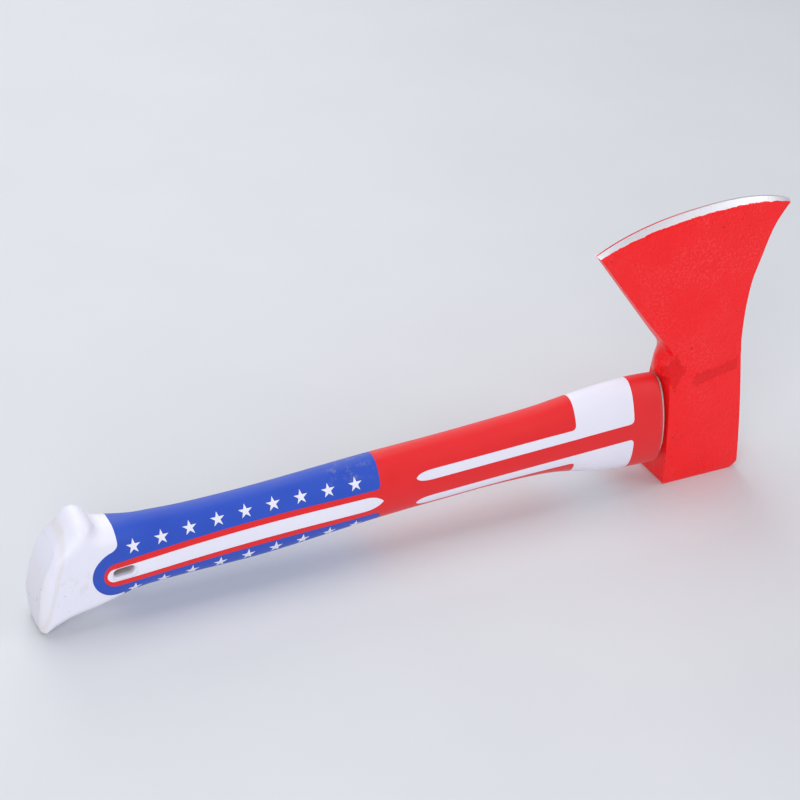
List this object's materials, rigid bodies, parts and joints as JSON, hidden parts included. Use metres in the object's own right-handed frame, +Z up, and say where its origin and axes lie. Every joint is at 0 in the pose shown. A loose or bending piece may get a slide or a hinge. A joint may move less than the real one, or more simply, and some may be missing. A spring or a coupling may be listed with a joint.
{
  "type": "hand axe",
  "caption": "One-hand fire axe with a red forged head and a white, red and blue moulded handle with a lanyard slot.",
  "frame": {"origin": "on the ground, below the middle of the axe as it stands on its poll and on the toe of its knob", "axes": "+X from the knob to the head, +Z up towards the cutting edge, Y across the thickness"},
  "size_m": [0.3572, 0.0266, 0.1395],
  "materials": {
    "head_paint": "gloss red paint with a fine orange peel on forged steel; the edge bevel is bare ground steel",
    "resin": "poured epoxy",
    "fibreglass": "sawn pultruded fibreglass",
    "adhesive": "clear adhesive",
    "white_plastic": "satin moulded polypropylene",
    "red_rubber": "satin thermoplastic rubber",
    "blue_rubber": "satin thermoplastic rubber"
  },
  "bodies": {
    "root": {"axe_head": "head_paint", "eye_resin": "resin", "handle_core": "fibreglass", "shoulder_bead": "adhesive", "handle_body": "white_plastic", "red_sleeve": "red_rubber", "blue_grip": "blue_rubber"}
  },
  "joints": []
}
